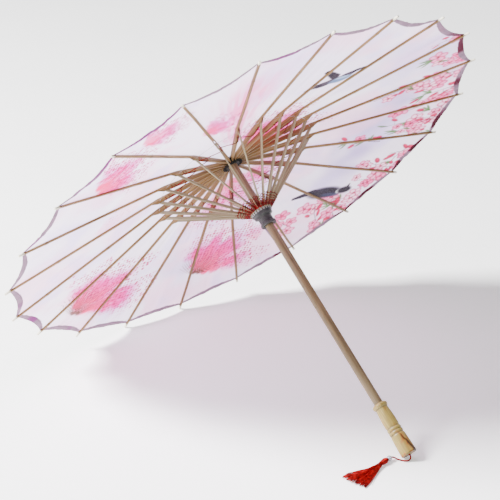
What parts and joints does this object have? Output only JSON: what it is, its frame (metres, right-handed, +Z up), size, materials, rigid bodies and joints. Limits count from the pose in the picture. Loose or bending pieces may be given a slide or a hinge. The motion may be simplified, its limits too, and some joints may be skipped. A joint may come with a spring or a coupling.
{
  "type": "oil paper umbrella",
  "caption": "Open parasol with a printed cloth canopy on hinged bamboo ribs and stretchers, a sliding runner, turned handle and tassel.",
  "frame": {"origin": "ground level, in the middle of the box around the lying umbrella, on its mirror plane x = 0", "axes": "+Z up; the pole lies in the plane x = 0 with its handle towards -Y and its crown raised towards +Y; +X is to the right of someone who looks along +Y into the canopy"},
  "size_m": [0.8216, 0.6492, 0.6282],
  "materials": {
    "canopy_cloth": "thin printed silk-like cloth",
    "rib_bamboo": "split bamboo, satin",
    "stretcher_bamboo": "pale bamboo strip, matt",
    "pole": "smooth bamboo rod",
    "turned_wood": "turned and waxed",
    "black_plastic": "moulded",
    "grey_plastic": "moulded, satin",
    "steel_wire": "plain wire",
    "spring_steel": "dark spring steel",
    "red_silk": "twisted silk thread",
    "white_bead": "glazed"
  },
  "bodies": {
    "root": {"pole": "pole", "crown_hub": "black_plastic", "crown_tie_wire": "steel_wire", "crown_pin": "steel_wire", "top_cap": "black_plastic", "handle": "turned_wood", "canopy": "canopy_cloth", "tassel_cord": "red_silk", "tassel_bead": "white_bead", "tassel_head": "red_silk", "tassel_skirt": "red_silk"},
    "runner": {"runner": "grey_plastic", "runner_tie_wire": "steel_wire"},
    "catch": {"catch_spring": "spring_steel"},
    "rib_01": {"rib_01": "rib_bamboo"},
    "stretcher_01": {"stretcher_01": "stretcher_bamboo"},
    "rib_02": {"rib_02": "rib_bamboo"},
    "stretcher_02": {"stretcher_02": "stretcher_bamboo"},
    "rib_03": {"rib_03": "rib_bamboo"},
    "stretcher_03": {"stretcher_03": "stretcher_bamboo"},
    "rib_04": {"rib_04": "rib_bamboo"},
    "stretcher_04": {"stretcher_04": "stretcher_bamboo"},
    "rib_05": {"rib_05": "rib_bamboo"},
    "stretcher_05": {"stretcher_05": "stretcher_bamboo"},
    "rib_06": {"rib_06": "rib_bamboo"},
    "stretcher_06": {"stretcher_06": "stretcher_bamboo"},
    "rib_07": {"rib_07": "rib_bamboo"},
    "stretcher_07": {"stretcher_07": "stretcher_bamboo"},
    "rib_08": {"rib_08": "rib_bamboo"},
    "stretcher_08": {"stretcher_08": "stretcher_bamboo"},
    "rib_09": {"rib_09": "rib_bamboo"},
    "stretcher_09": {"stretcher_09": "stretcher_bamboo"},
    "rib_10": {"rib_10": "rib_bamboo"},
    "stretcher_10": {"stretcher_10": "stretcher_bamboo"},
    "rib_11": {"rib_11": "rib_bamboo"},
    "stretcher_11": {"stretcher_11": "stretcher_bamboo"},
    "rib_12": {"rib_12": "rib_bamboo"},
    "stretcher_12": {"stretcher_12": "stretcher_bamboo"},
    "rib_13": {"rib_13": "rib_bamboo"},
    "stretcher_13": {"stretcher_13": "stretcher_bamboo"},
    "rib_14": {"rib_14": "rib_bamboo"},
    "stretcher_14": {"stretcher_14": "stretcher_bamboo"},
    "rib_15": {"rib_15": "rib_bamboo"},
    "stretcher_15": {"stretcher_15": "stretcher_bamboo"},
    "rib_16": {"rib_16": "rib_bamboo"},
    "stretcher_16": {"stretcher_16": "stretcher_bamboo"},
    "rib_17": {"rib_17": "rib_bamboo"},
    "stretcher_17": {"stretcher_17": "stretcher_bamboo"},
    "rib_18": {"rib_18": "rib_bamboo"},
    "stretcher_18": {"stretcher_18": "stretcher_bamboo"},
    "rib_19": {"rib_19": "rib_bamboo"},
    "stretcher_19": {"stretcher_19": "stretcher_bamboo"},
    "rib_20": {"rib_20": "rib_bamboo"},
    "stretcher_20": {"stretcher_20": "stretcher_bamboo"},
    "rib_21": {"rib_21": "rib_bamboo"},
    "stretcher_21": {"stretcher_21": "stretcher_bamboo"},
    "rib_22": {"rib_22": "rib_bamboo"},
    "stretcher_22": {"stretcher_22": "stretcher_bamboo"}
  },
  "joints": [
    {"name": "runner_slide", "type": "slide", "parent": "root", "child": "runner", "axis": [0, -0.7701, -0.638], "range_m": [0, 0.17365], "deforming": ["canopy", "catch_spring"]},
    {"name": "catch_press", "type": "slide", "parent": "root", "child": "catch", "axis": [0.866, -0.319, 0.385], "range_m": [0, 0.0022], "stiffness_N_per_m": 600},
    {"name": "rib_01_hinge", "type": "hinge", "parent": "root", "child": "rib_01", "pos_m": [-0.00206, 0.10278, 0.33292], "axis": [-0.9898, -0.0908, 0.1096], "range_deg": [0, 82.77]},
    {"name": "stretcher_01_hinge", "type": "hinge", "parent": "runner", "child": "stretcher_01", "pos_m": [-0.00206, 0.0327, 0.27486], "axis": [0.9898, 0.0908, -0.1096], "range_deg": [0, 54.66]},
    {"name": "rib_02_hinge", "type": "hinge", "parent": "root", "child": "rib_02", "pos_m": [-0.00601, 0.10204, 0.33381], "axis": [-0.9096, -0.265, 0.3199], "range_deg": [0, 82.77]},
    {"name": "stretcher_02_hinge", "type": "hinge", "parent": "runner", "child": "stretcher_02", "pos_m": [-0.00601, 0.03196, 0.27575], "axis": [0.9096, 0.265, -0.3199], "range_deg": [0, 54.66]},
    {"name": "rib_03_hinge", "type": "hinge", "parent": "root", "child": "rib_03", "pos_m": [-0.00947, 0.10062, 0.33552], "axis": [-0.7557, -0.4178, 0.5043], "range_deg": [0, 82.77]},
    {"name": "stretcher_03_hinge", "type": "hinge", "parent": "runner", "child": "stretcher_03", "pos_m": [-0.00947, 0.03054, 0.27747], "axis": [0.7557, 0.4178, -0.5043], "range_deg": [0, 54.66]},
    {"name": "rib_04_hinge", "type": "hinge", "parent": "root", "child": "rib_04", "pos_m": [-0.01217, 0.09863, 0.33792], "axis": [-0.5406, -0.5367, 0.6478], "range_deg": [0, 82.77]},
    {"name": "stretcher_04_hinge", "type": "hinge", "parent": "runner", "child": "stretcher_04", "pos_m": [-0.01217, 0.02855, 0.27987], "axis": [0.5406, 0.5367, -0.6478], "range_deg": [0, 54.66]},
    {"name": "rib_05_hinge", "type": "hinge", "parent": "root", "child": "rib_05", "pos_m": [-0.01388, 0.09624, 0.34081], "axis": [-0.2817, -0.6121, 0.7389], "range_deg": [0, 82.77]},
    {"name": "stretcher_05_hinge", "type": "hinge", "parent": "runner", "child": "stretcher_05", "pos_m": [-0.01388, 0.02616, 0.28275], "axis": [0.2817, 0.6121, -0.7389], "range_deg": [0, 54.66]},
    {"name": "rib_06_hinge", "type": "hinge", "parent": "root", "child": "rib_06", "pos_m": [-0.01447, 0.09364, 0.34394], "axis": [0, -0.638, 0.7701], "range_deg": [0, 82.77]},
    {"name": "stretcher_06_hinge", "type": "hinge", "parent": "runner", "child": "stretcher_06", "pos_m": [-0.01447, 0.02356, 0.28589], "axis": [0, 0.638, -0.7701], "range_deg": [0, 54.66]},
    {"name": "rib_07_hinge", "type": "hinge", "parent": "root", "child": "rib_07", "pos_m": [-0.01388, 0.09104, 0.34708], "axis": [0.2817, -0.6121, 0.7389], "range_deg": [0, 82.77]},
    {"name": "stretcher_07_hinge", "type": "hinge", "parent": "runner", "child": "stretcher_07", "pos_m": [-0.01388, 0.02096, 0.28903], "axis": [-0.2817, 0.6121, -0.7389], "range_deg": [0, 54.66]},
    {"name": "rib_08_hinge", "type": "hinge", "parent": "root", "child": "rib_08", "pos_m": [-0.01217, 0.08865, 0.34997], "axis": [0.5406, -0.5367, 0.6478], "range_deg": [0, 82.77]},
    {"name": "stretcher_08_hinge", "type": "hinge", "parent": "runner", "child": "stretcher_08", "pos_m": [-0.01217, 0.01857, 0.29191], "axis": [-0.5406, 0.5367, -0.6478], "range_deg": [0, 54.66]},
    {"name": "rib_09_hinge", "type": "hinge", "parent": "root", "child": "rib_09", "pos_m": [-0.00947, 0.08666, 0.35236], "axis": [0.7557, -0.4178, 0.5043], "range_deg": [0, 82.77]},
    {"name": "stretcher_09_hinge", "type": "hinge", "parent": "runner", "child": "stretcher_09", "pos_m": [-0.00947, 0.01659, 0.29431], "axis": [-0.7557, 0.4178, -0.5043], "range_deg": [0, 54.66]},
    {"name": "rib_10_hinge", "type": "hinge", "parent": "root", "child": "rib_10", "pos_m": [-0.00601, 0.08524, 0.35408], "axis": [0.9096, -0.265, 0.3199], "range_deg": [0, 82.77]},
    {"name": "stretcher_10_hinge", "type": "hinge", "parent": "runner", "child": "stretcher_10", "pos_m": [-0.00601, 0.01517, 0.29602], "axis": [-0.9096, 0.265, -0.3199], "range_deg": [0, 54.66]},
    {"name": "rib_11_hinge", "type": "hinge", "parent": "root", "child": "rib_11", "pos_m": [-0.00206, 0.0845, 0.35497], "axis": [0.9898, -0.0908, 0.1096], "range_deg": [0, 82.77]},
    {"name": "stretcher_11_hinge", "type": "hinge", "parent": "runner", "child": "stretcher_11", "pos_m": [-0.00206, 0.01443, 0.29692], "axis": [-0.9898, 0.0908, -0.1096], "range_deg": [0, 54.66]},
    {"name": "rib_12_hinge", "type": "hinge", "parent": "root", "child": "rib_12", "pos_m": [0.00206, 0.0845, 0.35497], "axis": [0.9898, 0.0908, -0.1096], "range_deg": [0, 82.77]},
    {"name": "stretcher_12_hinge", "type": "hinge", "parent": "runner", "child": "stretcher_12", "pos_m": [0.00206, 0.01443, 0.29692], "axis": [-0.9898, -0.0908, 0.1096], "range_deg": [0, 54.66]},
    {"name": "rib_13_hinge", "type": "hinge", "parent": "root", "child": "rib_13", "pos_m": [0.00601, 0.08524, 0.35408], "axis": [0.9096, 0.265, -0.3199], "range_deg": [0, 82.77]},
    {"name": "stretcher_13_hinge", "type": "hinge", "parent": "runner", "child": "stretcher_13", "pos_m": [0.00601, 0.01517, 0.29602], "axis": [-0.9096, -0.265, 0.3199], "range_deg": [0, 54.66]},
    {"name": "rib_14_hinge", "type": "hinge", "parent": "root", "child": "rib_14", "pos_m": [0.00947, 0.08666, 0.35236], "axis": [0.7557, 0.4178, -0.5043], "range_deg": [0, 82.77]},
    {"name": "stretcher_14_hinge", "type": "hinge", "parent": "runner", "child": "stretcher_14", "pos_m": [0.00947, 0.01659, 0.29431], "axis": [-0.7557, -0.4178, 0.5043], "range_deg": [0, 54.66]},
    {"name": "rib_15_hinge", "type": "hinge", "parent": "root", "child": "rib_15", "pos_m": [0.01217, 0.08865, 0.34997], "axis": [0.5406, 0.5367, -0.6478], "range_deg": [0, 82.77]},
    {"name": "stretcher_15_hinge", "type": "hinge", "parent": "runner", "child": "stretcher_15", "pos_m": [0.01217, 0.01857, 0.29191], "axis": [-0.5406, -0.5367, 0.6478], "range_deg": [0, 54.66]},
    {"name": "rib_16_hinge", "type": "hinge", "parent": "root", "child": "rib_16", "pos_m": [0.01388, 0.09104, 0.34708], "axis": [0.2817, 0.6121, -0.7389], "range_deg": [0, 82.77]},
    {"name": "stretcher_16_hinge", "type": "hinge", "parent": "runner", "child": "stretcher_16", "pos_m": [0.01388, 0.02096, 0.28903], "axis": [-0.2817, -0.6121, 0.7389], "range_deg": [0, 54.66]},
    {"name": "rib_17_hinge", "type": "hinge", "parent": "root", "child": "rib_17", "pos_m": [0.01447, 0.09364, 0.34394], "axis": [0, 0.638, -0.7701], "range_deg": [0, 82.77]},
    {"name": "stretcher_17_hinge", "type": "hinge", "parent": "runner", "child": "stretcher_17", "pos_m": [0.01447, 0.02356, 0.28589], "axis": [0, -0.638, 0.7701], "range_deg": [0, 54.66]},
    {"name": "rib_18_hinge", "type": "hinge", "parent": "root", "child": "rib_18", "pos_m": [0.01388, 0.09624, 0.34081], "axis": [-0.2817, 0.6121, -0.7389], "range_deg": [0, 82.77]},
    {"name": "stretcher_18_hinge", "type": "hinge", "parent": "runner", "child": "stretcher_18", "pos_m": [0.01388, 0.02616, 0.28275], "axis": [0.2817, -0.6121, 0.7389], "range_deg": [0, 54.66]},
    {"name": "rib_19_hinge", "type": "hinge", "parent": "root", "child": "rib_19", "pos_m": [0.01217, 0.09863, 0.33792], "axis": [-0.5406, 0.5367, -0.6478], "range_deg": [0, 82.77]},
    {"name": "stretcher_19_hinge", "type": "hinge", "parent": "runner", "child": "stretcher_19", "pos_m": [0.01217, 0.02855, 0.27987], "axis": [0.5406, -0.5367, 0.6478], "range_deg": [0, 54.66]},
    {"name": "rib_20_hinge", "type": "hinge", "parent": "root", "child": "rib_20", "pos_m": [0.00947, 0.10062, 0.33552], "axis": [-0.7557, 0.4178, -0.5043], "range_deg": [0, 82.77]},
    {"name": "stretcher_20_hinge", "type": "hinge", "parent": "runner", "child": "stretcher_20", "pos_m": [0.00947, 0.03054, 0.27747], "axis": [0.7557, -0.4178, 0.5043], "range_deg": [0, 54.66]},
    {"name": "rib_21_hinge", "type": "hinge", "parent": "root", "child": "rib_21", "pos_m": [0.00601, 0.10204, 0.33381], "axis": [-0.9096, 0.265, -0.3199], "range_deg": [0, 82.77]},
    {"name": "stretcher_21_hinge", "type": "hinge", "parent": "runner", "child": "stretcher_21", "pos_m": [0.00601, 0.03196, 0.27575], "axis": [0.9096, -0.265, 0.3199], "range_deg": [0, 54.66]},
    {"name": "rib_22_hinge", "type": "hinge", "parent": "root", "child": "rib_22", "pos_m": [0.00206, 0.10278, 0.33292], "axis": [-0.9898, 0.0908, -0.1096], "range_deg": [0, 82.77]},
    {"name": "stretcher_22_hinge", "type": "hinge", "parent": "runner", "child": "stretcher_22", "pos_m": [0.00206, 0.0327, 0.27486], "axis": [0.9898, -0.0908, 0.1096], "range_deg": [0, 54.66]}
  ],
  "couplings": [
    {"joint": "rib_01_hinge", "follows": "runner_slide", "rad_per_m": 8.3185},
    {"joint": "stretcher_01_hinge", "follows": "runner_slide", "rad_per_m": 5.4924},
    {"joint": "rib_02_hinge", "follows": "runner_slide", "rad_per_m": 8.3185},
    {"joint": "stretcher_02_hinge", "follows": "runner_slide", "rad_per_m": 5.4924},
    {"joint": "rib_03_hinge", "follows": "runner_slide", "rad_per_m": 8.3185},
    {"joint": "stretcher_03_hinge", "follows": "runner_slide", "rad_per_m": 5.4924},
    {"joint": "rib_04_hinge", "follows": "runner_slide", "rad_per_m": 8.3185},
    {"joint": "stretcher_04_hinge", "follows": "runner_slide", "rad_per_m": 5.4924},
    {"joint": "rib_05_hinge", "follows": "runner_slide", "rad_per_m": 8.3185},
    {"joint": "stretcher_05_hinge", "follows": "runner_slide", "rad_per_m": 5.4924},
    {"joint": "rib_06_hinge", "follows": "runner_slide", "rad_per_m": 8.3185},
    {"joint": "stretcher_06_hinge", "follows": "runner_slide", "rad_per_m": 5.4924},
    {"joint": "rib_07_hinge", "follows": "runner_slide", "rad_per_m": 8.3185},
    {"joint": "stretcher_07_hinge", "follows": "runner_slide", "rad_per_m": 5.4924},
    {"joint": "rib_08_hinge", "follows": "runner_slide", "rad_per_m": 8.3185},
    {"joint": "stretcher_08_hinge", "follows": "runner_slide", "rad_per_m": 5.4924},
    {"joint": "rib_09_hinge", "follows": "runner_slide", "rad_per_m": 8.3185},
    {"joint": "stretcher_09_hinge", "follows": "runner_slide", "rad_per_m": 5.4924},
    {"joint": "rib_10_hinge", "follows": "runner_slide", "rad_per_m": 8.3185},
    {"joint": "stretcher_10_hinge", "follows": "runner_slide", "rad_per_m": 5.4924},
    {"joint": "rib_11_hinge", "follows": "runner_slide", "rad_per_m": 8.3185},
    {"joint": "stretcher_11_hinge", "follows": "runner_slide", "rad_per_m": 5.4924},
    {"joint": "rib_12_hinge", "follows": "runner_slide", "rad_per_m": 8.3185},
    {"joint": "stretcher_12_hinge", "follows": "runner_slide", "rad_per_m": 5.4924},
    {"joint": "rib_13_hinge", "follows": "runner_slide", "rad_per_m": 8.3185},
    {"joint": "stretcher_13_hinge", "follows": "runner_slide", "rad_per_m": 5.4924},
    {"joint": "rib_14_hinge", "follows": "runner_slide", "rad_per_m": 8.3185},
    {"joint": "stretcher_14_hinge", "follows": "runner_slide", "rad_per_m": 5.4924},
    {"joint": "rib_15_hinge", "follows": "runner_slide", "rad_per_m": 8.3185},
    {"joint": "stretcher_15_hinge", "follows": "runner_slide", "rad_per_m": 5.4924},
    {"joint": "rib_16_hinge", "follows": "runner_slide", "rad_per_m": 8.3185},
    {"joint": "stretcher_16_hinge", "follows": "runner_slide", "rad_per_m": 5.4924},
    {"joint": "rib_17_hinge", "follows": "runner_slide", "rad_per_m": 8.3185},
    {"joint": "stretcher_17_hinge", "follows": "runner_slide", "rad_per_m": 5.4924},
    {"joint": "rib_18_hinge", "follows": "runner_slide", "rad_per_m": 8.3185},
    {"joint": "stretcher_18_hinge", "follows": "runner_slide", "rad_per_m": 5.4924},
    {"joint": "rib_19_hinge", "follows": "runner_slide", "rad_per_m": 8.3185},
    {"joint": "stretcher_19_hinge", "follows": "runner_slide", "rad_per_m": 5.4924},
    {"joint": "rib_20_hinge", "follows": "runner_slide", "rad_per_m": 8.3185},
    {"joint": "stretcher_20_hinge", "follows": "runner_slide", "rad_per_m": 5.4924},
    {"joint": "rib_21_hinge", "follows": "runner_slide", "rad_per_m": 8.3185},
    {"joint": "stretcher_21_hinge", "follows": "runner_slide", "rad_per_m": 5.4924},
    {"joint": "rib_22_hinge", "follows": "runner_slide", "rad_per_m": 8.3185},
    {"joint": "stretcher_22_hinge", "follows": "runner_slide", "rad_per_m": 5.4924}
  ]
}
